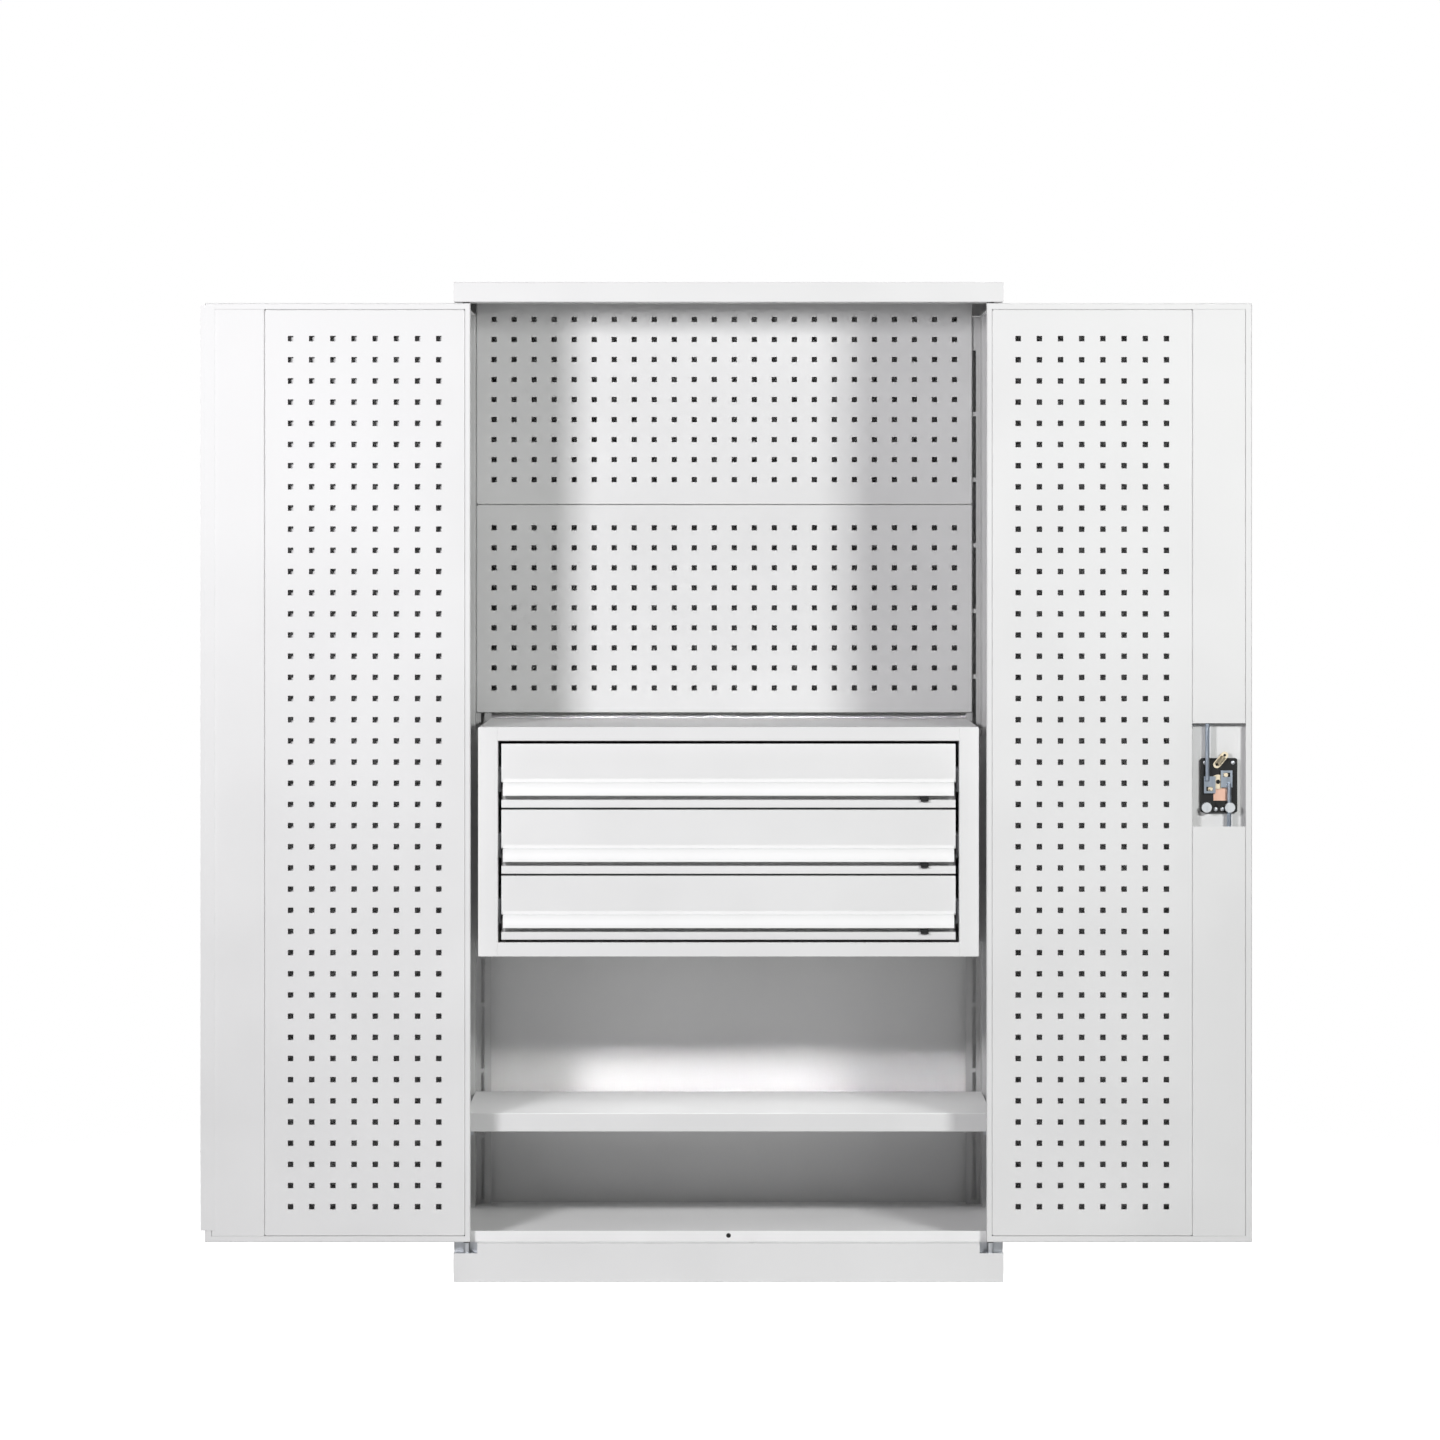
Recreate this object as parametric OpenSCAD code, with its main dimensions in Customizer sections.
// Tool cabinet with two doors that open flat, perforated panels, a shelf and a unit of three drawers.
// +Z is up, the front faces -Y, and the origin is the middle of the base on the floor.
// The doors are drawn open at 180 degrees, beside the cabinet, with their inner sides to the front.

/* [Cabinet] */
// Width over the cap and the plinth
cab_w = 990; // [940:10:1100]
// Depth from the closed doors' faces to the back
cab_d = 500; // [480:10:620]
// Height from the floor to the top
cab_h = 1800; // [1780:10:2000]
// Thickness of the folded sheet steel
sheet_t = 1.2; // [1.2:0.1:1.8]
// Inner radius of the bends in folded sheet
bend_r = 0.8; // [0.5:0.1:1]
// Height of the plinth
plinth_h = 70; // [60:1:100]
// Height of the cap's front rail
cap_h = 36; // [30:1:50]
// Width of the flanges that the body's sheets are riveted by
flange_w = 14; // [12:0.5:14]
// Depth of the cap's and the plinth's flanges under and over the doors
ledge_d = 48; // [42:1:60]
// Width of the side panel's front face
jamb_w = 17; // [15:0.5:19]
// Depth of the side panel's fold behind that face
jamb_return = 25; // [20:1:30]
// Height of the floor pan's front lip above the plinth
floor_lip_h = 19; // [15:1:25]
// Clearance between the body's sheets
sheet_gap = 0.3; // [0.2:0.05:0.4]
// Width of the plinth's bottom flange
foot_flange_w = 50; // [45:1:60]
// Distance of the floor anchor holes from the plinth's edges
anchor_inset = 30; // [25:1:35]
// Radius of the floor anchor holes
anchor_r = 4.5; // [4:0.5:6]

/* [Doors] */
// Thickness of a door
door_t = 22; // [20:1:25]
// Gap above and below a closed door
door_gap = 2; // [2:0.1:3]
// Gap between the two closed doors
meeting_gap = 2; // [1.5:0.1:3]
// Gap between a closed door and the side panel's front face
jamb_gap = 1; // [1:0.1:2]
// Distance of the hinge axis from the cabinet's side
pivot_inset = 23.5; // [22:0.5:26]
// Width of the door that lies beyond its hinge axis
hinge_over = 6.5; // [6.5:0.1:7.5]
// Radius of the hinge pins
pin_r = 3; // [2.5:0.1:3.2]
// Radius of the bushes in the doors
bush_r = 4.8; // [4.4:0.1:4.9]
// Radius of the bushes' collars
bush_collar_r = 6.2; // [5.5:0.1:6.4]
// Running clearance of pins, rods and the spindle in their bores
run_gap = 0.06; // [0.03:0.01:0.09]
// Clearance between bodies that pass each other
body_gap = 0.3; // [0.25:0.05:0.4]
// Width of the door shell's inner fold at the hinge side
hinge_band = 9; // [8:0.5:14]
// Width of the door shell's inner fold at the free side
free_band = 11; // [9:0.5:14]
// Width of the door shell's inner folds at the ends
end_band = 11; // [10:0.5:14]
// Width of the cover strip over the locking rods
strip_w = 96; // [90:1:110]
// Width that the left door's lip laps behind the right door
lip_over = 8; // [6:0.5:10]
// Width of the lip's part on the door
lip_base = 18; // [14:1:24]
// Step of the lip behind the right door
lip_step = 0.5; // [0.4:0.1:0.8]
// Depth of the door panels' side folds
insert_fold = 12; // [8:1:16]
// Width of the corner notches in the plinth
notch_w = 43; // [40:1:50]
// Height of the corner notches in the plinth
notch_h = 18; // [15:1:24]
// Thickness of the hinge plates
hinge_plate_t = 3; // [2.5:0.5:4]
// Radius of the hinge pins' lower shoulders
shoulder_r = 6; // [5:0.5:6.5]

/* [Perforation] */
// Pitch of the square holes
hole_pitch = 38.1; // [30:0.1:50]
// Width of the square holes
hole_size = 10; // [8:0.5:12]
// Thickness of the perforated sheets
board_t = 1.2; // [1:0.1:1.5]
// Least distance from a hole row to a door panel's end
insert_margin = 45; // [35:1:50]
// Least distance from a hole column to a door panel's side
insert_side = 40; // [30:1:45]
// Least distance from a hole to a back board's side and top
board_side = 30; // [25:1:35]
// Distance of the lowest hole row from a back board's bottom
board_foot = 47; // [40:1:50]
// Height of the lower back board's bottom edge
board_z = 1008; // [1006:1:1020]
// Height of the lower back board
lower_board_h = 395.5; // [380:0.5:400]
// Distance of the upper back board's top edge below the cabinet's top
board_top_gap = 10; // [8:1:20]
// Gap between the two back boards
board_gap = 1; // [0.5:0.1:1]
// Gap beside the back boards where the upright's slots show
board_play = 16.4; // [12:0.1:20]
// Distance from the board's front to the back of the cabinet
board_back = 30; // [28:1:34]
// Depth of the boards' folded edges
board_fold = 6.4; // [5:0.1:8]

/* [Uprights] */
// Distance of the uprights' inner faces from the cabinet's side
upright_in = 15; // [14:0.5:17]
// Depth of a front upright
upright_d = 40; // [30:1:50]
// Distance of the front uprights from the closed doors
upright_set = 83; // [80:1:90]
// Depth of a rear upright in front of the board's flange
rear_upright_d = 46.5; // [40:0.5:50]
// Width of the rear upright's flange behind the boards
board_flange_w = 28; // [24:1:30]
// Pitch of the long slots behind the boards
long_pitch = 125; // [100:1:150]
// Height of the bridges between the long slots
long_bridge = 8; // [6:1:12]
// Width of the long slots
long_slot_w = 7; // [5:0.5:8]
// Distance of the long slots from the upright's face
long_slot_in = 8.6; // [8:0.1:9]
// Pitch of the hook slots
slot_pitch = 50; // [40:1:60]
// Height of a hook slot
slot_h = 20; // [18:1:24]
// Width of a hook slot
slot_w = 4; // [3:0.5:6]
// Height of the first hook slot over the floor pan
slot_foot = 30; // [25:1:40]

/* [Shelf] */
// Hook slot that carries the shelf, counted from the lowest one
shelf_slot = 3; // [1:1:6]
// Height of the shelf's lip
shelf_lip = 34; // [30:1:45]
// Depth of the shelf
shelf_d = 330; // [300:1:335]
// Distance of the shelf's lip from the closed doors
shelf_set = 98; // [92:1:104]
// Width of the shelf's lower hem
shelf_hem = 12; // [8:1:16]
// Width of the stiffeners under the shelf
rib_w = 40; // [30:1:50]
// Height of the stiffeners under the shelf
rib_h = 18; // [12:1:22]
// Width of a stiffener's welded feet
rib_foot = 14; // [10:1:16]
// Length of a shelf clip's tab under the shelf
clip_l = 14; // [10:1:18]
// Height of a shelf clip
clip_h = 6; // [5:0.5:8]
// Thickness of a shelf clip
clip_t = 3.2; // [2:0.1:3.4]

/* [Drawer unit] */
// Width of the drawer case
case_w = 904; // [880:2:910]
// Height of the drawer case
case_h = 414; // [400:1:430]
// Height of the drawer case's top above the floor
case_top = 998; // [980:1:1000]
// Depth of the drawer case
case_d = 430; // [420:1:431]
// Distance of the drawer case from the closed doors
case_set = 4; // [3:0.5:8]
// Width of the drawer case's side posts
post_w = 35.5; // [30:0.5:40]
// Height of the drawer case's top and bottom rails
rail_h = 25; // [22:0.5:28]
// Depth of the rails' inner folds
rail_fold = 10; // [6:0.5:11]
// Distance of the drawer fronts behind the case's front
front_recess = 12; // [12:0.5:14]
// Gap above the top drawer front
front_top_gap = 5.5; // [4:0.5:7]
// Gap below each drawer front
front_gap = 3.5; // [2.5:0.5:5]
// Gap beside the drawer fronts
front_side_gap = 6; // [4:0.5:8]
// Height of the plain strip under the grip
grip_strip = 14.6; // [12:0.1:18]
// Height of the grip recess
grip_h = 31.4; // [26:0.1:34]
// Depth of the grip recess
grip_d = 14; // [10:0.5:14]
// Gap under the grip's edge
grip_slot = 8; // [6:0.5:10]
// Distance that the grip stands out
grip_out = 12; // [8:0.5:12]
// Thickness of the grip
grip_t = 2; // [1.5:0.1:2.5]
// Height of the grip's fixing edge
grip_edge = 6; // [5:0.5:8]
// Distance of the grip's ends from the front's ends
grip_end = 3; // [2:0.5:5]
// Depth of the drawer front's top and bottom folds
front_fold = 12; // [8:0.5:15]
// Height of the drawer box
box_h = 82; // [76:1:90]
// Height of the drawer box's bottom over its front's bottom
box_foot = 10; // [6:1:14]
// Height of the turned-in hem round the drawer box's top
box_hem = 9; // [6:1:12]
// Length of the drawer box
box_l = 385; // [360:1:390]
// Thickness of the drawer's sheet
box_t = 1.2; // [1:0.1:1.5]
// Space for a runner at each side of a drawer
runner_w = 13; // [12.5:0.1:14]
// Height of the runners
runner_h = 45; // [42:1:50]
// Thickness of the runners' steel
runner_t = 1.4; // [1.2:0.1:1.5]
// Clearance between the runners' members
runner_gap = 0.5; // [0.4:0.1:0.6]
// Distance of a drawer latch from the front's right end
latch_in = 56; // [40:1:80]
// Width of a drawer latch
latch_w = 14; // [10:1:18]
// Width of the brackets between the case and the uprights
bracket_l = 20; // [16:1:22]
// Distance of the brackets' ends from the case's ends
bracket_end = 20; // [15:1:40]

/* [Lock] */
// Height of the lock's spindle
lock_z = 900; // [880:1:920]
// Distance of the spindle from the right door's free edge
lock_in = 60; // [58:0.5:62]
// Width of the lock body
lock_w = 66; // [64:1:70]
// Height of the lock body
lock_h = 98; // [90:1:110]
// Distance of the lock body's middle beside the spindle
lock_side = 2; // [0:0.5:3]
// Distance of the lock body's middle below the spindle
lock_drop = 6.5; // [5:0.5:8]
// Thickness of the lock body
lock_d = 8; // [7.5:0.1:8.2]
// Window in the cover strip below the spindle
window_down = 80; // [70:1:90]
// Window in the cover strip above the spindle
window_up = 106; // [90:1:120]
// Distance of each rod from the spindle
rod_off = 19.5; // [19:0.1:20.5]
// Radius of the locking rods
rod_r = 4; // [3.5:0.1:4]
// Radius of the cam pins' circle
cam_pin_off = 18; // [17:0.1:18]
// Radius of a cam pin
cam_pin_r = 3; // [2.5:0.1:3]
// Play of a cam pin across its slot
cam_play = 0.75; // [0.7:0.05:0.9]
// Thickness of the cam
cam_t = 2.2; // [2:0.1:2.2]
// Radius of the cam's disc
cam_r = 13; // [11:0.5:14]
// Radius of the spindle
spindle_r = 5; // [4:0.1:6]
// Thickness of the rods' flat ends
rod_flat_t = 3; // [2.5:0.1:3]
// Radius of the handle's plate
rose_r = 26; // [22:1:30]
// Thickness of the handle's plate
rose_t = 4; // [3:0.5:6]
// Length of the handle
handle_l = 96; // [80:1:120]
// Width of the handle
handle_w = 22; // [20:1:26]
// Height of the handle over its plate
handle_d = 24; // [22:1:30]
// Radius of the key cylinder
key_r = 6; // [5:0.5:7]
// Length of the key cylinder
key_l = 12; // [8:1:13]
// Angle that the handle turns
lock_turn = 90; // [90:1:90]

/* [Hidden] */
$fn = 48;

// Colours
WHITE = [0.90, 0.90, 0.89];
GREY = [0.82, 0.82, 0.82];
ZINC = [0.70, 0.71, 0.73];
BLACK = [0.10, 0.10, 0.11];
BRASS = [0.80, 0.68, 0.40];
COPPER = [0.80, 0.55, 0.42];

// A length that makes a cut run clear through
CUT = 1;

// Body: half width, front, back, and the heights of the cap and the floor
side_x = cab_w / 2;
front_y = -cab_d / 2;
back_y = cab_d / 2;
cap_z = cab_h - cap_h;
jamb_x = side_x - jamb_w;
door_back_y = front_y + door_t;
jamb_y = door_back_y + jamb_gap;
floor_z = plinth_h + 2 * sheet_t;
skin_x = side_x - sheet_t - sheet_gap;
upright_top = cap_z - sheet_t - sheet_gap;

// Doors, in their own frame: x runs from the hinge axis to the free edge, and -y is the inner side
pivot_x = side_x - pivot_inset;
pivot_y = front_y + door_t / 2;
door_end = pivot_x - meeting_gap / 2;
door_z0 = plinth_h + door_gap;
door_z1 = cap_z - door_gap;
face_y = -door_t / 2;
skin_y = door_t / 2 - sheet_t;
strip_x1 = door_end - free_band - sheet_gap;
strip_x0 = strip_x1 - strip_w + 2 * sheet_gap;
insert_x0 = -hinge_over + hinge_band + sheet_gap;
insert_x1 = strip_x0 - sheet_gap;
insert_z0 = door_z0 + end_band + sheet_gap;
insert_z1 = door_z1 - end_band - sheet_gap;
notch_z = plinth_h - notch_h;
pin_in = end_band - 2;
bush_l = end_band - 0.5;

// Uprights and boards
upright_x = side_x - upright_in;
upright_y = door_back_y + upright_set;
board_y = back_y - board_back;
board_flange_y = board_y + board_fold + sheet_gap;
rear_y0 = board_flange_y - rear_upright_d;
board_x0 = -upright_x + sheet_gap;
board_x1 = upright_x - board_play;
upper_board_z = board_z + lower_board_h + board_gap;
upper_board_h = cab_h - board_top_gap - upper_board_z;
rear_slot_y = (rear_y0 + board_y) / 2;
front_slot_y = upright_y + upright_d / 2;
slot_count = floor((upright_top - floor_z - slot_foot - slot_h) / slot_pitch) + 1;
long_count = floor((upright_top - floor_z - long_bridge) / long_pitch);
function slot_z(k) = floor_z + slot_foot + k * slot_pitch;

// Shelf
clip_z = slot_z(shelf_slot) + clip_h / 2;
shelf_z = clip_z + shelf_lip;
shelf_y = door_back_y + shelf_set;
shelf_x = upright_x - sheet_gap;

// Drawer unit
case_x = case_w / 2;
case_y = door_back_y + case_set;
case_z = case_top - case_h;
post_x = case_x - post_w;
open_z0 = case_z + rail_h;
open_z1 = case_top - rail_h;
drawer_face_y = case_y + front_recess;
front_h = (open_z1 - open_z0 - front_top_gap - 3 * front_gap) / 3;
front_x = post_x - front_side_gap;
function front_z(i) = open_z1 - front_top_gap - i * front_h - (i - 1) * front_gap;
box_x = post_x - runner_w;
box_y = drawer_face_y + grip_d + sheet_t;
runner_y = box_y + box_t;
runner_l = box_l - 2 * box_t;
function runner_z(i) = front_z(i) + box_foot + box_h / 2;
mid_web = post_x - runner_t - runner_gap;
mid_h = runner_h - 2 * (runner_t + runner_gap);
rail_inner_h = mid_h - 2 * (runner_t + runner_gap);
latch_x = front_x - latch_in;

// Lock, in the right door's frame
lock_x = door_end - lock_in;
lock_y = skin_y - lock_d;
cam_y = lock_y - body_gap - cam_t;
rod_y = cam_y - 3.4;
rod_flat_y = cam_y - body_gap - rod_flat_t;
cam_start = lock_turn / 2;
cam_rise = cam_pin_off * sin(cam_start);
cam_side = cam_pin_off * cos(cam_start);
rod_end_gap = 2;
rod_flat_h = 8;
rod_tip = 8;
arm_wall = 2.5;
cam_sweep = cam_pin_off + cam_pin_r + arm_wall;
plate_t = 1;
plate_x = [-8, 17];
plate_z = [-34, -spindle_r - 2];
knob_r = 4;
lever_t = 2;
lever_r = 6.5;
lever_foot = [-2, cam_sweep + 1 + lever_r];
lever_l = 22;
lever_lean = 50;
eye_r = 9;
eye_z = -(rod_end_gap + rod_flat_h + 2 * cam_rise + 1.5 + eye_r);
rose_y = door_t / 2;
handle_y = rose_y + rose_t + body_gap;

// A box between pairs of limits
module box(x, y, z) {
    translate([x[0], y[0], z[0]]) cube([x[1] - x[0], y[1] - y[0], z[1] - z[0]]);
}

// The same piece at the left and the right
module both_sides() {
    children();
    mirror([1, 0, 0]) children();
}

// A section drawn in two directions and extruded along the third one
module run_x(x) {
    translate([x[0], 0, 0]) rotate([90, 0, 90]) linear_extrude(x[1] - x[0]) children();
}
module run_y(y) {
    translate([0, y[1], 0]) rotate([90, 0, 0]) linear_extrude(y[1] - y[0]) children();
}
module run_z(z) {
    translate([0, 0, z[0]]) linear_extrude(z[1] - z[0]) children();
}

// A rectangle with rounded corners, between pairs of limits
module rounded(a, b, r) {
    translate([a[0] + r, b[0]]) square([a[1] - a[0] - 2 * r, b[1] - b[0]]);
    translate([a[0], b[0] + r]) square([a[1] - a[0], b[1] - b[0] - 2 * r]);
    for (u = [a[0] + r, a[1] - r], v = [b[0] + r, b[1] - r]) translate([u, v]) circle(r);
}

// A bar with round ends, from the first one's middle along x
module bar(length, r) {
    for (x = [0, length]) translate([x, 0]) circle(r);
    translate([0, -r]) square([length, 2 * r]);
}

// Section of a sheet that is bent at right angles; the points lie on the middle of its thickness
module folded(points, t) {
    last = len(points) - 1;
    turn_r = bend_r + t / 2;
    for (i = [0 : last - 1]) {
        step = (points[i + 1] - points[i]) / norm(points[i + 1] - points[i]);
        a = points[i] + (i > 0 ? turn_r : 0) * step;
        b = points[i + 1] - (i < last - 1 ? turn_r : 0) * step;
        half = [abs(step[1]), abs(step[0])] * t / 2;
        low = [min(a[0], b[0]), min(a[1], b[1])] - half;
        translate(low) square([abs(b[0] - a[0]), abs(b[1] - a[1])] + 2 * half);
    }
    for (i = [1 : last - 1]) {
        back = (points[i - 1] - points[i]) / norm(points[i - 1] - points[i]);
        ahead = (points[i + 1] - points[i]) / norm(points[i + 1] - points[i]);
        inward = back + ahead;
        size = turn_r + t / 2;
        translate(points[i] + turn_r * inward) intersection() {
            difference() {
                circle(size);
                circle(bend_r);
            }
            translate([inward[0] > 0 ? -size : 0, inward[1] > 0 ? -size : 0]) square(size);
        }
    }
}

// Places a door's piece at its open hinge axis; the left door is the right one mirrored
module at_right_hinge() {
    translate([pivot_x, pivot_y, 0]) children();
}
module at_left_hinge() {
    mirror([1, 0, 0]) at_right_hinge() children();
}

// A sheet in the XZ plane with a grid of square holes, up to the bends at its edges; its front face is at y = 0
module perforated_sheet(x0, x1, z0, z1, t, cols, rows, hole_x, hole_z) {
    r = bend_r + t;
    run_y([0, t]) difference() {
        translate([x0 + r, z0 + r]) square([x1 - x0 - 2 * r, z1 - z0 - 2 * r]);
        for (i = [0 : cols - 1], j = [0 : rows - 1])
            translate([hole_x + i * hole_pitch, hole_z + j * hole_pitch]) square(hole_size, center = true);
    }
}

// Four folds that run back from a sheet's edges, with a notch at each corner
module edge_folds(x0, x1, z0, z1, t, depth) {
    r = bend_r + t;
    m = t / 2;
    run_z([z0 + r, z1 - r]) for (edge = [[x0, 1], [x1, -1]]) {
        x = edge[0] + edge[1] * m;
        folded([[edge[0] + edge[1] * 2 * r, m], [x, m], [x, depth]], t);
    }
    run_x([x0 + r, x1 - r]) for (edge = [[z0, 1], [z1, -1]]) {
        z = edge[0] + edge[1] * m;
        folded([[m, edge[0] + edge[1] * 2 * r], [m, z], [depth, z]], t);
    }
}

// How many holes fit on a length between two margins
function hole_count(span, margins) = floor((span - margins) / hole_pitch) + 1;

// ---- Body ----

// A block over the whole plan whose long edges are bent
module rim_block(inset, z, r) {
    x = [-side_x + inset, side_x - inset];
    y = [front_y + inset, back_y - inset];
    intersection() {
        run_x(x) rounded(y, z, r);
        run_y(y) rounded(x, z, r);
    }
}

// The closed sheet shell that the cap and the plinth are cut from
module hollow_rim(z) {
    difference() {
        rim_block(0, z, bend_r + sheet_t);
        rim_block(sheet_t, [z[0] + sheet_t, z[1] - sheet_t], bend_r);
    }
}

module top_cap() {
    color(WHITE) difference() {
        hollow_rim([cap_z, cab_h]);
        box([-side_x + flange_w, side_x - flange_w], [front_y + ledge_d, back_y - flange_w],
            [cap_z - CUT, cap_z + 2 * sheet_t]);
        both_sides() translate([pivot_x, pivot_y, cap_z - CUT]) cylinder(r = pin_r + body_gap, h = 2 * CUT + sheet_t);
        translate([pivot_x - lock_x + rod_off, pivot_y - rod_y, cap_z - CUT])
            cylinder(r = rod_r + 1, h = 2 * CUT + sheet_t);
    }
}

module plinth() {
    color(WHITE) difference() {
        hollow_rim([0, plinth_h]);
        box([-side_x + flange_w, side_x - flange_w], [front_y + ledge_d, back_y - flange_w],
            [plinth_h - 2 * sheet_t, plinth_h + CUT]);
        box([-side_x + foot_flange_w, side_x - foot_flange_w],
            [front_y + foot_flange_w, back_y - foot_flange_w], [-CUT, 2 * sheet_t]);
        both_sides() box([side_x - notch_w, side_x + CUT], [front_y - CUT, jamb_y], [notch_z, plinth_h + CUT]);
        translate([pivot_x - lock_x - rod_off, pivot_y - rod_y, plinth_h - sheet_t - CUT])
            cylinder(r = rod_r + 1, h = 2 * CUT + sheet_t);
        for (x = [-1, 1], y = [-1, 1])
            translate([x * (side_x - anchor_inset), y * (back_y - anchor_inset), -CUT])
                cylinder(r = anchor_r, h = 2 * CUT + sheet_t);
    }
}

module side_panel() {
    m = sheet_t / 2;
    color(WHITE) {
        run_z([plinth_h, cap_z]) folded([
            [jamb_x + m, jamb_y + jamb_return], [jamb_x + m, jamb_y + m], [side_x - m, jamb_y + m],
            [side_x - m, back_y - m], [side_x - flange_w, back_y - m]
        ], sheet_t);
        for (foot = [plinth_h, cap_z - sheet_t])
            box([side_x - flange_w, side_x - m], [jamb_y + jamb_return, back_y - sheet_t], [foot, foot + sheet_t]);
    }
}
module right_side_panel() { side_panel(); }
module left_side_panel() { mirror([1, 0, 0]) side_panel(); }

module back_panel() {
    x = skin_x - bend_r;
    color(WHITE) box([-x, x], [back_y - 2 * sheet_t, back_y - sheet_t], [plinth_h + sheet_t, cap_z - sheet_t]);
}

module floor_pan() {
    front_x = pivot_x - hinge_over;
    z = [plinth_h + sheet_t, floor_z];
    color(WHITE) difference() {
        union() {
            box([-skin_x, skin_x], [jamb_y + jamb_return + sheet_gap, back_y - 2 * sheet_t - sheet_gap], z);
            box([-front_x, front_x], [jamb_y, back_y / 2], z);
            box([-front_x, front_x], [jamb_y, jamb_y + sheet_t], [plinth_h, plinth_h + floor_lip_h]);
        }
        translate([0, jamb_y - CUT, buffer_z]) rotate([-90, 0, 0]) cylinder(r = buffer_stem_r, h = 2 * CUT + sheet_t);
    }
}

// Round rubber buffer that the closed doors meet
buffer_z = plinth_h + floor_lip_h / 2 + sheet_t;
buffer_stem_r = 2.5;
buffer_head_r = 4.2;
buffer_head_t = 0.7;
module door_buffer() {
    color(BLACK) translate([0, jamb_y, buffer_z]) rotate([-90, 0, 0]) {
        translate([0, 0, -buffer_head_t]) cylinder(r1 = buffer_head_r - 1, r2 = buffer_head_r, h = buffer_head_t);
        cylinder(r = buffer_stem_r, h = sheet_t);
        translate([0, 0, sheet_t]) cylinder(r = buffer_stem_r + 1, h = 2);
    }
}

// ---- Uprights ----

// Rows of small slots that hooks hang in, through the upright's inner face
module hook_slots(y) {
    for (k = [0 : slot_count - 1])
        translate([upright_x - CUT, y - slot_w / 2, slot_z(k) - slot_h / 2])
            cube([sheet_t + 2 * CUT, slot_w, slot_h]);
}

module front_upright() {
    m = sheet_t / 2;
    y = [upright_y + m, upright_y + upright_d - m];
    color(GREY) difference() {
        run_z([floor_z, upright_top])
            folded([[skin_x, y[0]], [upright_x + m, y[0]], [upright_x + m, y[1]], [skin_x, y[1]]], sheet_t);
        hook_slots(front_slot_y);
    }
}
module right_front_upright() { front_upright(); }
module left_front_upright() { mirror([1, 0, 0]) front_upright(); }

module rear_upright() {
    m = sheet_t / 2;
    y = [rear_y0 + m, board_flange_y + m];
    slot_x = upright_x - long_slot_in;
    color(GREY) difference() {
        run_z([floor_z, upright_top]) folded([
            [skin_x, y[0]], [upright_x + m, y[0]], [upright_x + m, y[1]], [upright_x - board_flange_w, y[1]]
        ], sheet_t);
        hook_slots(rear_slot_y);
        for (k = [0 : long_count - 1])
            translate([slot_x - long_slot_w, board_flange_y - CUT, floor_z + long_bridge + k * long_pitch])
                cube([long_slot_w, sheet_t + 2 * CUT, long_pitch - long_bridge]);
    }
}
module right_rear_upright() { rear_upright(); }
module left_rear_upright() { mirror([1, 0, 0]) rear_upright(); }

// ---- Perforated boards at the back ----

module pegboard(z0, h) {
    cols = hole_count(board_x1 - board_x0, 2 * board_side);
    rows = hole_count(h, board_foot + board_side);
    color(WHITE) translate([0, board_y, 0]) {
        perforated_sheet(board_x0, board_x1, z0, z0 + h, board_t, cols, rows,
            (board_x0 + board_x1) / 2 - (cols - 1) * hole_pitch / 2, z0 + board_foot);
        edge_folds(board_x0, board_x1, z0, z0 + h, board_t, board_fold);
    }
}
module lower_pegboard() { pegboard(board_z, lower_board_h); }
module upper_pegboard() { pegboard(upper_board_z, upper_board_h); }

// ---- Shelf ----

module shelf() {
    m = sheet_t / 2;
    under = shelf_z - shelf_lip;
    ends = [shelf_y, shelf_y + shelf_d];
    color(WHITE) {
        run_x([-shelf_x, shelf_x]) {
            folded([[ends[0] + shelf_hem, under + m], [ends[0] + m, under + m], [ends[0] + m, shelf_z - m],
                [ends[1] - m, shelf_z - m], [ends[1] - m, under]], sheet_t);
            for (k = [1 : 2]) stiffener(ends[0] + k * shelf_d / 3, shelf_z - sheet_t - m);
        }
        both_sides() box([shelf_x - sheet_t, shelf_x], [ends[0] + m, ends[1] - m], [under, shelf_z - m]);
    }
}

// Section of a hat-shaped stiffener welded under the shelf
module stiffener(y, z) {
    half = rib_w / 2;
    low = z - rib_h;
    folded([[y - half - rib_foot, z], [y - half, z], [y - half, low], [y + half, low], [y + half, z],
        [y + half + rib_foot, z]], sheet_t);
}

// Hooks that hang in the uprights' slots, with a tab under the shelf
module shelf_clips() {
    hook = 3;
    color(ZINC) both_sides() for (y = [front_slot_y, rear_slot_y]) {
        box([upright_x - clip_l, upright_x + sheet_t + hook], [y - clip_t / 2, y + clip_t / 2], [clip_z - clip_h, clip_z]);
        box([upright_x - clip_l, upright_x], [y - 2 * clip_t, y + 2 * clip_t], [clip_z - sheet_t, clip_z]);
        box([upright_x + sheet_t, upright_x + sheet_t + hook], [y - clip_t / 2, y + clip_t / 2],
            [clip_z - clip_h - hook, clip_z]);
    }
}

// ---- Drawer case ----

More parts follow.
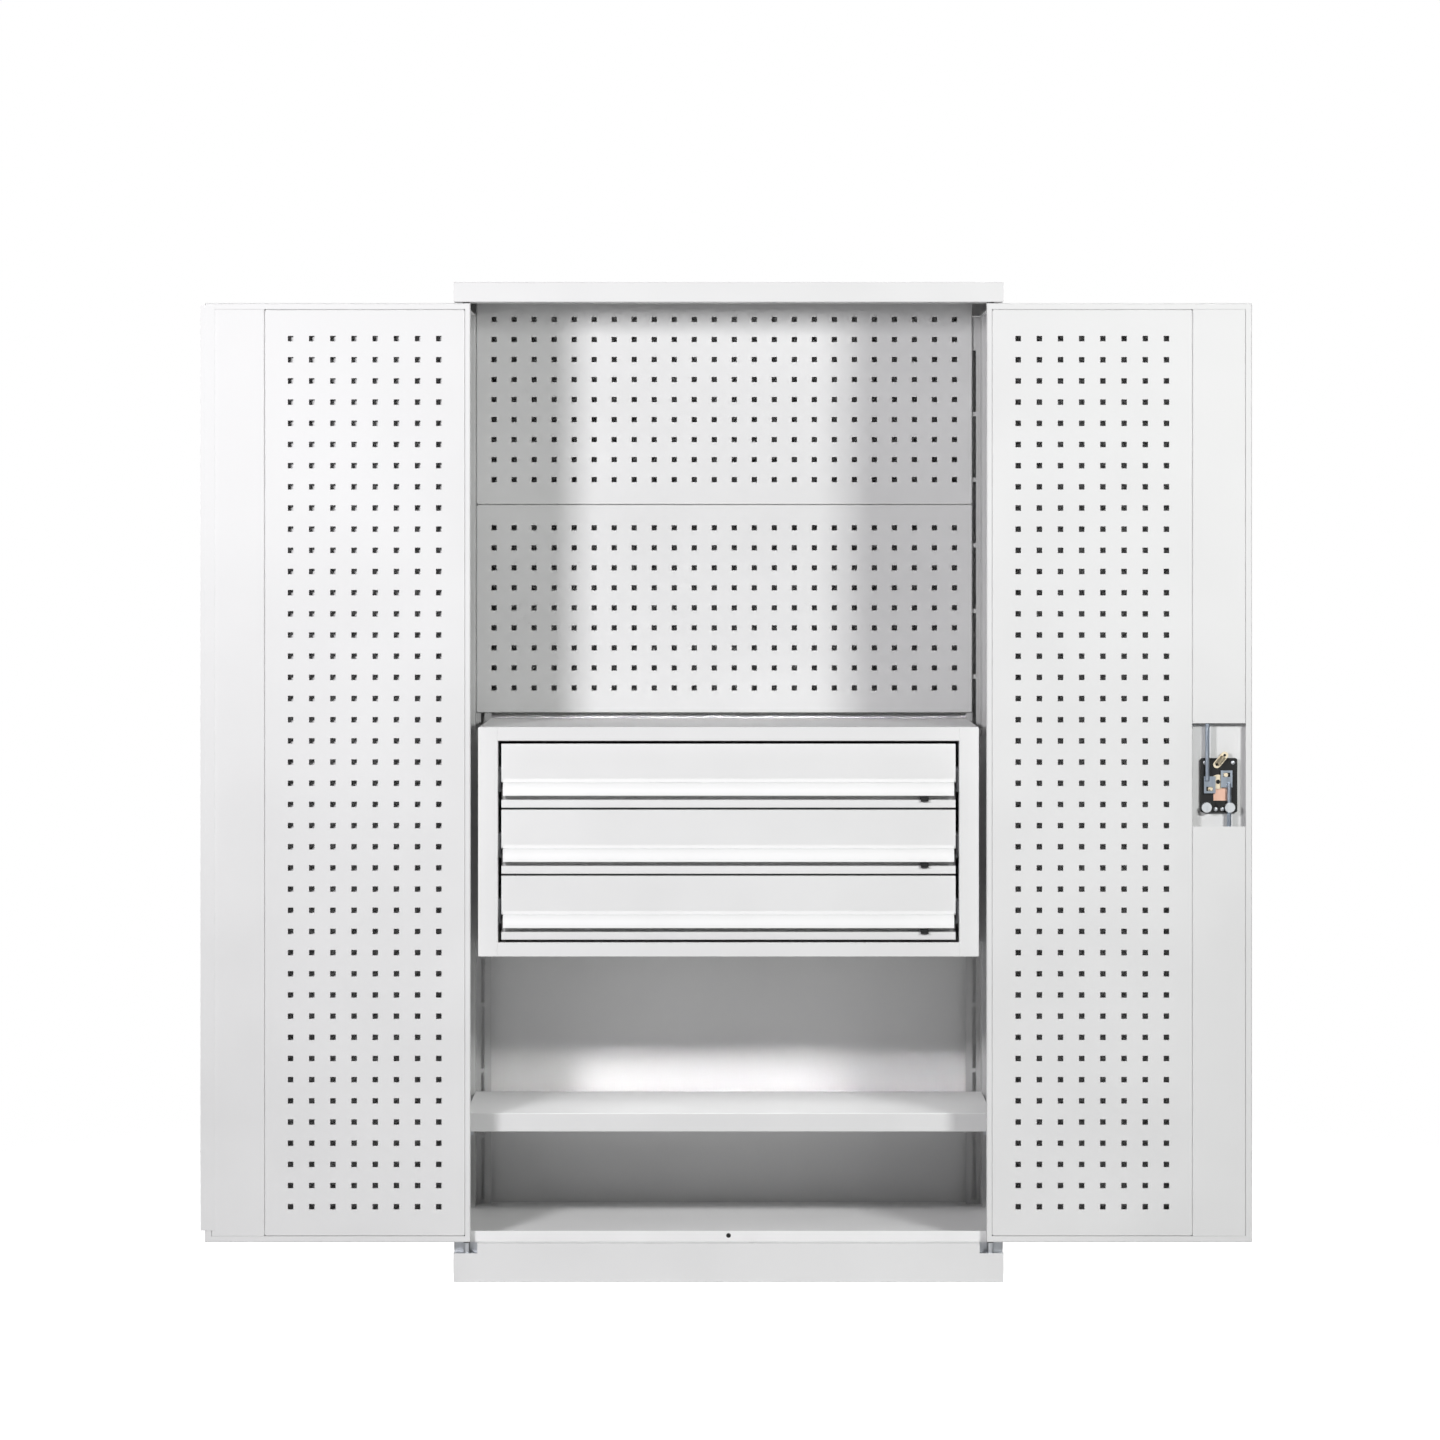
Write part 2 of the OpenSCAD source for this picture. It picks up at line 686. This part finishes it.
module drawer_case() {
    t = sheet_t;
    m = t / 2;
    x = [-case_x, case_x];
    z = [case_z, case_top];
    ends = [case_y, case_y + case_d];
    color(WHITE) {
        difference() {
            run_y(ends) rounded(x, z, bend_r + t);
            run_y([ends[0] - CUT, ends[1] - t]) rounded([x[0] + t, x[1] - t], [z[0] + t, z[1] - t], bend_r);
        }
        both_sides() run_z([z[0] + m, z[1] - m])
            folded([[case_x - m, ends[0] + m], [post_x + m, ends[0] + m], [post_x + m, ends[1] - m]], t);
        run_x([-post_x - m, post_x + m]) {
            y = [ends[0] + m, ends[0] + rail_fold];
            folded([[y[0], z[0] + m], [y[0], open_z0 - m], [y[1], open_z0 - m]], t);
            folded([[y[0], z[1] - m], [y[0], open_z1 + m], [y[1], open_z1 + m]], t);
        }
    }
}

// Channels that hold the case between the uprights
module case_brackets() {
    z = [case_z + bracket_end, case_top - bracket_end];
    color(GREY) both_sides() for (y = [front_slot_y, rear_y0 + bracket_l / 2]) {
        near = y - bracket_l / 2 + sheet_t / 2;
        far = y + bracket_l / 2;
        x = [case_x + sheet_t / 2, upright_x - sheet_t / 2];
        run_z(z) folded([[x[0], far], [x[0], near], [x[1], near], [x[1], far]], sheet_t);
    }
}

// A runner member: a web and two flanges, open towards the drawer or away from it
module runner_member(web_x, flange_x, h, z) {
    m = runner_t / 2;
    mid_x = web_x + (flange_x > web_x ? m : -m);
    half = h / 2 - m;
    run_y([runner_y, runner_y + runner_l])
        folded([[flange_x, z - half], [mid_x, z - half], [mid_x, z + half], [flange_x, z + half]], runner_t);
}

// Outer members, screwed to the case's posts
module case_runners() {
    color(ZINC) both_sides() for (i = [1 : 3]) runner_member(post_x, box_x + runner_t + runner_gap, runner_h, runner_z(i));
}
// Middle members, which travel half as far as the drawer
module slides(i) {
    color(ZINC) both_sides() runner_member(mid_web, box_x + runner_t + runner_gap, mid_h, runner_z(i));
}
// Inner members, fixed to the drawer's sides
module rails(i) {
    color(ZINC) both_sides() runner_member(box_x, mid_web - runner_t - runner_gap, rail_inner_h, runner_z(i));
}

// ---- Drawers ----

// Folded front: a flat face, a recess for the fingers and a plain strip below it
module drawer_front(i) {
    m = sheet_t / 2;
    z = [front_z(i) + m, front_z(i) + front_h - m];
    y = [drawer_face_y + m, drawer_face_y + grip_d + m];
    grip_z = [front_z(i) + grip_strip - m, front_z(i) + grip_strip + grip_h + m];
    fold_y = drawer_face_y + front_fold;
    color(WHITE) {
        run_x([-front_x, front_x]) folded([
            [fold_y, z[0]], [y[0], z[0]], [y[0], grip_z[0]], [y[1], grip_z[0]],
            [y[1], grip_z[1]], [y[0], grip_z[1]], [y[0], z[1]], [fold_y, z[1]]
        ], sheet_t);
        both_sides() box([front_x - sheet_t, front_x], [y[0], fold_y], [grip_z[1], z[1]]);
    }
}

// Curved grip over the recess, open below for the fingers
module drawer_grip(i) {
    z0 = front_z(i) + grip_strip + grip_slot;
    lip = 3;
    rise = grip_h - grip_slot - lip;
    top = front_z(i) + grip_strip + grip_h;
    outer = [for (a = [0 : 5 : 85]) [-grip_out * cos(a), z0 + lip + rise * sin(a)]];
    edge = [[-grip_t, top], [-grip_t, top + grip_edge], [0, top + grip_edge]];
    inner = [for (a = [90 : -5 : 0]) [-(grip_out - grip_t) * cos(a), z0 + lip + (rise - grip_t) * sin(a)]];
    length = 2 * (front_x - grip_end);
    color(WHITE) translate([length / 2, drawer_face_y, 0]) rotate([90, 0, -90]) mirror([1, 0, 0]) linear_extrude(length)
        polygon(concat([[-grip_out, z0]], outer, edge, inner, [[-(grip_out - grip_t), z0]]));
}

module drawer_box(i) {
    z = [front_z(i) + box_foot, front_z(i) + box_foot + box_h];
    x = [-box_x, box_x];
    y = [box_y, box_y + box_l];
    hem = 2 * box_t;
    color(GREY) difference() {
        run_y(y) rounded(x, [z[0], z[1] + box_h], bend_r + box_t);
        box([x[0] - CUT, x[1] + CUT], [y[0] - CUT, y[1] + CUT], [z[1], z[1] + 2 * box_h]);
        run_y([y[0] + box_t, y[1] - box_t])
            rounded([x[0] + box_t, x[1] - box_t], [z[0] + box_t, z[1] - box_hem], bend_r);
        box([x[0] + hem, x[1] - hem], [y[0] + hem, y[1] - hem], [z[0] + box_h / 2, z[1] + CUT]);
    }
}

// Small catch under the grip that is pushed aside to free the drawer
module drawer_latch(i) {
    z0 = front_z(i) + grip_strip;
    back = drawer_face_y + grip_d - body_gap;
    tab_h = 5;
    color(BLACK) {
        box([latch_x - latch_w / 2, latch_x + latch_w / 2], [drawer_face_y - 6, back], [z0 + body_gap, z0 + body_gap + tab_h]);
        box([latch_x - latch_w / 2, latch_x + latch_w / 2], [drawer_face_y - 6, drawer_face_y - body_gap],
            [z0 - 3, z0 + body_gap + tab_h]);
    }
}

// ---- Doors, each in its hinge's frame ----

// A block of the door's size, less an inset all round, whose upright and level edges are bent
module door_block(inset, r) {
    x = [-hinge_over + inset, door_end - inset];
    y = [face_y + inset, -face_y - inset];
    z = [door_z0 + inset, door_z1 - inset];
    intersection() {
        run_z(z) rounded(x, y, r);
        run_x(x) rounded(y, z, r);
    }
}

// Folded tray with its skin outside and narrow folds on the inner side
module door_shell(with_lock) {
    color(WHITE) difference() {
        door_block(0, bend_r + sheet_t);
        door_block(sheet_t, bend_r);
        box([-hinge_over + hinge_band, door_end - free_band], [face_y - CUT, face_y + 2 * sheet_t],
            [door_z0 + end_band, door_z1 - end_band]);
        for (z = [door_z0, door_z1]) translate([0, 0, z]) cylinder(r = bush_r, h = 4 * sheet_t, center = true);
        if (with_lock) {
            translate([lock_x - rod_off, rod_y, door_z1]) cylinder(r = rod_r + run_gap, h = 4 * sheet_t, center = true);
            translate([lock_x + rod_off, rod_y, door_z0]) cylinder(r = rod_r + run_gap, h = 4 * sheet_t, center = true);
            translate([lock_x, skin_y - CUT, lock_z]) rotate([-90, 0, 0])
                cylinder(r = spindle_r + run_gap, h = sheet_t + 2 * CUT);
        }
    }
}

module door_pegboard() {
    w = insert_x1 - insert_x0;
    h = insert_z1 - insert_z0;
    cols = hole_count(w, 2 * insert_side);
    rows = hole_count(h, 2 * insert_margin);
    color(WHITE) translate([0, face_y, 0]) {
        perforated_sheet(insert_x0, insert_x1, insert_z0, insert_z1, board_t, cols, rows,
            (insert_x0 + insert_x1) / 2 - (cols - 1) * hole_pitch / 2,
            (insert_z0 + insert_z1) / 2 - (rows - 1) * hole_pitch / 2);
        edge_folds(insert_x0, insert_x1, insert_z0, insert_z1, board_t, insert_fold);
    }
}

// Channel over the locking rods' space, from the inner face to the skin
module cover_strip(z0, z1) {
    m = sheet_t / 2;
    x = [strip_x0 + m, strip_x1 - m];
    y = face_y + m;
    color(WHITE) run_z([z0, z1]) folded([[x[0], skin_y], [x[0], y], [x[1], y], [x[1], skin_y]], sheet_t);
}

// Flanged bushes at the door's bottom and top
module door_bushes() {
    color(BLACK) for (end = [[door_z0, 1], [door_z1, -1]])
        translate([0, 0, end[0]]) mirror([0, 0, end[1] < 0 ? 1 : 0]) difference() {
            union() {
                translate([0, 0, -(door_gap - body_gap)]) cylinder(r = bush_collar_r, h = door_gap - body_gap);
                cylinder(r = bush_r, h = bush_l);
            }
            translate([0, 0, -door_gap]) cylinder(r = pin_r + run_gap, h = door_gap + bush_l + CUT);
        }
}

module left_door_shell() { at_left_hinge() door_shell(false); }
module left_door_pegboard() { at_left_hinge() door_pegboard(); }
module left_door_strip() { at_left_hinge() cover_strip(insert_z0, insert_z1); }
module left_door_bushes() { at_left_hinge() door_bushes(); }

// Lip on the left door that laps behind the right one
module left_door_lip() {
    z = [plinth_h + floor_lip_h + 4, door_z1 - 4];
    color(WHITE) at_left_hinge() {
        box([door_end - lip_base, door_end + sheet_t], [face_y - sheet_t, face_y], z);
        box([door_end, door_end + lip_over], [face_y - sheet_t - lip_step, face_y - lip_step], z);
    }
}

module right_door_shell() { at_right_hinge() door_shell(true); }
module right_door_pegboard() { at_right_hinge() door_pegboard(); }
module right_upper_strip() { at_right_hinge() cover_strip(lock_z + window_up, insert_z1); }
module right_lower_strip() { at_right_hinge() cover_strip(insert_z0, lock_z - window_down); }
module right_door_bushes() { at_right_hinge() door_bushes(); }

// ---- Hinges ----

module hinge_brackets() {
    x = [side_x - notch_w + sheet_gap, side_x - sheet_t - sheet_gap];
    color(ZINC) both_sides() {
        difference() {
            union() {
                box(x, [front_y + sheet_t + sheet_gap, front_y + ledge_d], [notch_z - hinge_plate_t, notch_z]);
                box(x, [jamb_y, jamb_y + hinge_plate_t], [notch_z - hinge_plate_t, plinth_h - sheet_t]);
            }
            translate([pivot_x, pivot_y, notch_z]) cylinder(r = pin_r, h = 4 * hinge_plate_t, center = true);
        }
        difference() {
            box(x, [front_y + sheet_t + sheet_gap, front_y + ledge_d], [cap_z + sheet_t, cap_z + sheet_t + hinge_plate_t]);
            translate([pivot_x, pivot_y, cap_z]) cylinder(r = pin_r, h = 8 * hinge_plate_t, center = true);
        }
    }
}

// Fixed pins: the lower ones with a shoulder under the door, the upper ones through the cap's rail
module hinge_pins() {
    color(ZINC) both_sides() translate([pivot_x, pivot_y, 0]) {
        translate([0, 0, notch_z - hinge_plate_t]) cylinder(r = pin_r, h = door_z0 + pin_in - notch_z + hinge_plate_t);
        translate([0, 0, notch_z]) cylinder(r = shoulder_r, h = notch_h);
        translate([0, 0, door_z1 - pin_in]) cylinder(r = pin_r, h = door_gap + pin_in + sheet_t + hinge_plate_t);
        translate([0, 0, cap_z + sheet_t + hinge_plate_t]) cylinder(r = pin_r + 2, h = 2);
    }
}

// ---- Lock, in the right door's frame ----

module along_y(y0, y1, r) {
    translate([0, y0, 0]) rotate([-90, 0, 0]) cylinder(r = r, h = y1 - y0);
}

module lock_body() {
    rim = 2;
    screw_r = 2.5;
    x = [lock_side - lock_w / 2, lock_side + lock_w / 2];
    z = [-lock_drop - lock_h / 2, -lock_drop + lock_h / 2];
    screws = [
        [x[0] + 8, z[1] - 8], [x[1] - 8, z[1] - 8],
        [lock_side - 6, z[0] + 6], [lock_side + 6, z[0] + 6]
    ];
    color(BLACK) at_right_hinge() translate([lock_x, 0, lock_z]) {
        difference() {
            run_y([lock_y, skin_y]) rounded(x, z, 4);
            run_y([lock_y - CUT, lock_y + rim])
                rounded([x[0] + 16, x[1] - 16], [lever_foot[1] + lever_r + 1, z[1] - rim], 2);
            box(plate_x, [lock_y - CUT, lock_y + plate_t], plate_z);
            along_y(lock_y - CUT, skin_y + CUT, spindle_r + run_gap);
            for (s = screws) translate([s[0], 0, s[1]]) along_y(lock_y - CUT, skin_y + CUT, screw_r);
        }
        translate([0, 0, plate_z[0] - 1 - knob_r]) along_y(lock_y - 3, lock_y, knob_r);
    }
}

// Plated cover of the lock's latch, set flush in the body under the cam
module lock_plate() {
    color(COPPER) at_right_hinge() translate([lock_x, 0, lock_z])
        box(plate_x, [lock_y, lock_y + plate_t], plate_z);
}

// Stop lever, whose foot stands on the body beside the cam's sweep
module lock_lever() {
    color(BRASS) at_right_hinge() translate([lock_x + lever_foot[0], 0, lock_z + lever_foot[1]])
        rotate([0, -lever_lean, 0]) run_y([lock_y - lever_t, lock_y]) bar(lever_l, lever_r);
}

// Eyes on the body: the right one guides the lower rod, and the left one serves a lock that is turned over
module lock_eyes() {
    wall = 0.9;
    color(ZINC) at_right_hinge() translate([lock_x, 0, lock_z]) for (side = [-1, 1]) difference() {
        translate([side * (rod_off + 1.5), 0, eye_z]) along_y(rod_y - rod_r - wall, lock_y, eye_r);
        translate([side * rod_off, rod_y, eye_z])
            cylinder(r = rod_r + run_gap, h = 2 * eye_r + 2 * CUT, center = true);
    }
}

module lock_rose() {
    color(BLACK) at_right_hinge() translate([lock_x, 0, lock_z]) difference() {
        translate([0, rose_y, 0]) rotate([-90, 0, 0]) cylinder(r1 = rose_r, r2 = rose_r - 2, h = rose_t);
        along_y(rose_y - CUT, rose_y + rose_t + CUT, spindle_r + run_gap);
    }
}

// Disc with two pins that drive the rods, on the spindle that the handle turns
module lock_cam() {
    color(BRASS) at_right_hinge() translate([lock_x, 0, lock_z]) {
        pin = [cam_side, cam_rise];
        run_y([cam_y, cam_y + cam_t]) {
            circle(cam_r);
            rotate(cam_start) square([2 * cam_pin_off, 2 * cam_pin_r + arm_wall], center = true);
            for (end = [-pin, pin]) translate(end) circle(cam_pin_r + arm_wall);
        }
        for (side = [-1, 1])
            translate([side * pin[0], 0, side * pin[1]]) along_y(rod_flat_y - 1, cam_y, cam_pin_r);
        along_y(cam_y + cam_t, handle_y + handle_d / 2, spindle_r);
    }
}

// A rod with a flat, slotted end: the slot takes the cam's pin, and the tip enters the body
module locking_rod(length) {
    slot_half = cam_pin_r + cam_play;
    flat_x = [-6, rod_off - cam_side + cam_pin_r + 5];
    slot_x = [rod_off - cam_pin_off - cam_pin_r - 0.4, rod_off - cam_side + cam_pin_r + 0.4];
    translate([0, rod_y, rod_end_gap]) cylinder(r = rod_r, h = length - rod_end_gap - rod_tip);
    translate([0, rod_y, length - rod_tip]) cylinder(r1 = rod_r, r2 = rod_r - 1.5, h = rod_tip);
    difference() {
        box([flat_x[0], flat_x[1]], [rod_flat_y, rod_flat_y + rod_flat_t],
            [-cam_rise - slot_half - 4, rod_end_gap + rod_flat_h]);
        box([slot_x[0], slot_x[1]], [rod_flat_y - CUT, rod_flat_y + rod_flat_t + CUT],
            [-cam_rise - slot_half, -cam_rise + slot_half]);
    }
}

module upper_rod() {
    color(ZINC) at_right_hinge() translate([lock_x - rod_off, 0, lock_z]) locking_rod(door_z1 - 2 - lock_z);
}
module lower_rod() {
    color(ZINC) at_right_hinge() translate([lock_x + rod_off, 0, lock_z]) rotate([0, 180, 0])
        locking_rod(lock_z - door_z0 - 2);
}

// Blocks on the skin that guide the rods inside the cover strip
module rod_guides() {
    size = [16, 14];
    wall = 0.9;
    above = [window_up + 60, door_z1 - lock_z - 60];
    below = [window_down + 60, lock_z - door_z0 - 60];
    spots = [
        for (z = above) [-rod_off, z],
        for (z = below) [rod_off, -z]
    ];
    color(BLACK) at_right_hinge() for (s = spots) translate([lock_x + s[0], 0, lock_z + s[1]]) difference() {
        box([-size[0] / 2, size[0] / 2], [rod_y - rod_r - wall, skin_y], [-size[1] / 2, size[1] / 2]);
        translate([0, rod_y, 0]) cylinder(r = rod_r + run_gap, h = size[1] + 2 * CUT, center = true);
    }
}

// Turning handle outside the right door
module lock_handle() {
    r = handle_w / 2;
    neck_r = 9;
    grip_y = handle_y + handle_d / 2;
    color(BLACK) at_right_hinge() translate([lock_x, 0, lock_z]) difference() {
        union() {
            along_y(handle_y, grip_y, neck_r);
            rotate([0, 90, 0]) run_y([grip_y, handle_y + handle_d]) bar(handle_l - 2 * r, r);
        }
        along_y(handle_y - CUT, grip_y, spindle_r + run_gap);
        along_y(handle_y + handle_d - key_l - body_gap + CUT, handle_y + handle_d + CUT, key_r + run_gap);
    }
}

module key_cylinder() {
    slot = [1.6, 8, 5];
    color(ZINC) at_right_hinge() translate([lock_x, 0, lock_z]) difference() {
        along_y(handle_y + handle_d - key_l + CUT, handle_y + handle_d + CUT, key_r);
        box([-slot[0] / 2, slot[0] / 2], [handle_y + handle_d + CUT - slot[2], handle_y + handle_d + 2 * CUT],
            [-slot[1] / 2, slot[1] / 2]);
    }
}

top_cap();
plinth();
floor_pan();
left_side_panel();
right_side_panel();
back_panel();
left_front_upright();
right_front_upright();
left_rear_upright();
right_rear_upright();
upper_pegboard();
lower_pegboard();
shelf();
shelf_clips();
drawer_case();
case_brackets();
case_runners();
hinge_brackets();
hinge_pins();
door_buffer();
left_door_shell();
left_door_pegboard();
left_door_strip();
left_door_lip();
left_door_bushes();
right_door_shell();
right_door_pegboard();
right_upper_strip();
right_lower_strip();
right_door_bushes();
lock_body();
lock_plate();
lock_lever();
lock_eyes();
lock_rose();
rod_guides();
lock_cam();
lock_handle();
key_cylinder();
upper_rod();
lower_rod();
for (i = [1 : 3]) {
    drawer_front(i);
    drawer_grip(i);
    drawer_box(i);
    rails(i);
    slides(i);
    drawer_latch(i);
}
